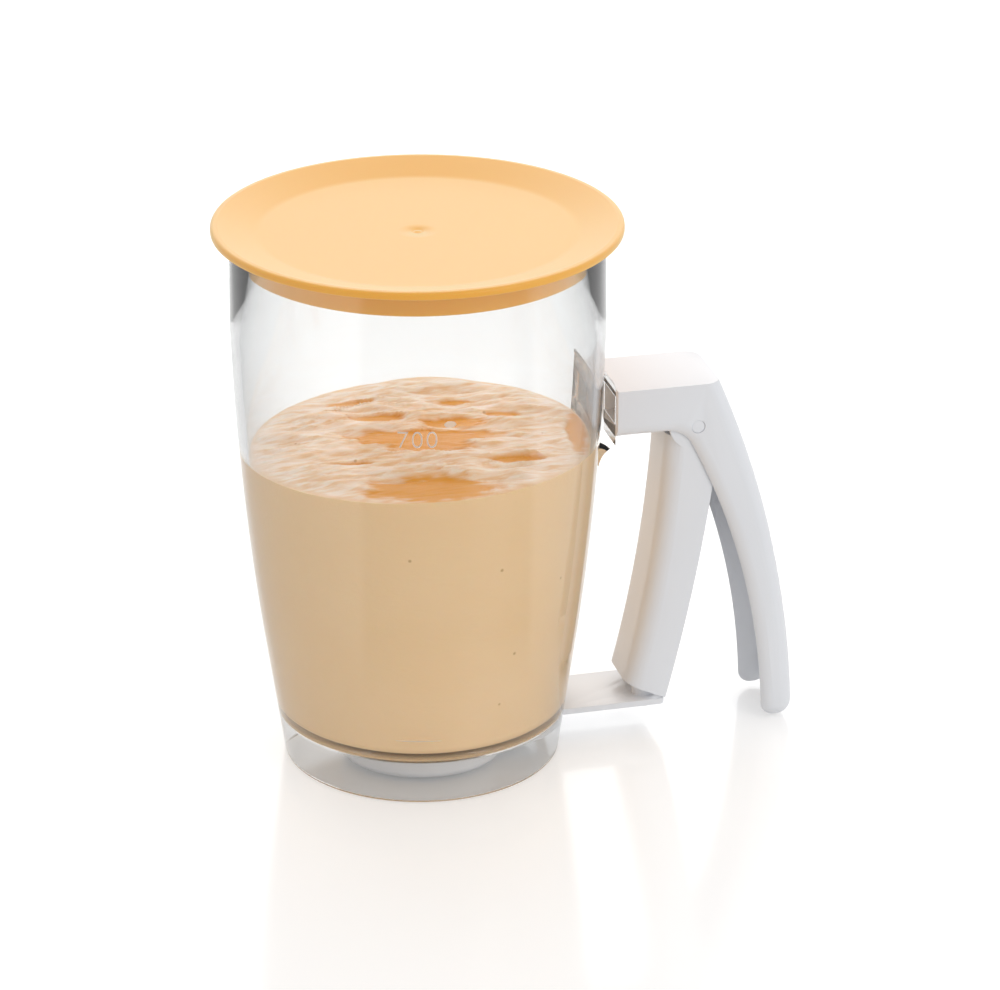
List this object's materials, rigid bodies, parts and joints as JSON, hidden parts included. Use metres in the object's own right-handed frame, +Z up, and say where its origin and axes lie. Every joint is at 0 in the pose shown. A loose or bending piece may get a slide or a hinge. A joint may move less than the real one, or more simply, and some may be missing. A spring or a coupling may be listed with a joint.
{
  "type": "pancake batter dispenser",
  "caption": "Clear hand-held batter dispenser: flared vessel with lift-off lid, handle with squeeze trigger, and a sprung lever valve under the floor outlet.",
  "frame": {"origin": "on the vessel's axis at the height of the table it stands on", "axes": "+Z up along the vessel's axis; +X from the axis to the handle; +Y to the left of the handle as seen from behind it, completing a right-handed frame"},
  "size_m": [0.1717, 0.118, 0.1652],
  "materials": {
    "clear_plastic": "clear polished styrene-acrylonitrile moulding",
    "orange_plastic": "satin polypropylene moulding",
    "white_plastic": "satin white ABS moulding",
    "seal_rubber": "translucent silicone",
    "steel": "stainless steel"
  },
  "bodies": {
    "root": {"vessel": "clear_plastic", "handle_frame": "white_plastic", "pivot_pin": "white_plastic", "return_spring": "steel", "handle_screws": "steel"},
    "lid": {"lid": "orange_plastic"},
    "lever": {"trigger": "white_plastic", "valve_arm": "white_plastic", "drip_cup": "white_plastic", "valve_seal": "seal_rubber", "lever_screws": "steel"}
  },
  "joints": [
    {"name": "lid_lift", "type": "slide", "parent": "root", "child": "lid", "axis": [0, 0, 1], "range_m": [0, 0.05]},
    {"name": "lever_swing", "type": "hinge", "parent": "root", "child": "lever", "pos_m": [0.0807, 0, 0.0987], "axis": [0, -1, 0], "range_deg": [0, 9.5], "stiffness_Nm_per_rad": 0.6, "springref_deg": -20.05, "deforming": ["return_spring"]}
  ]
}
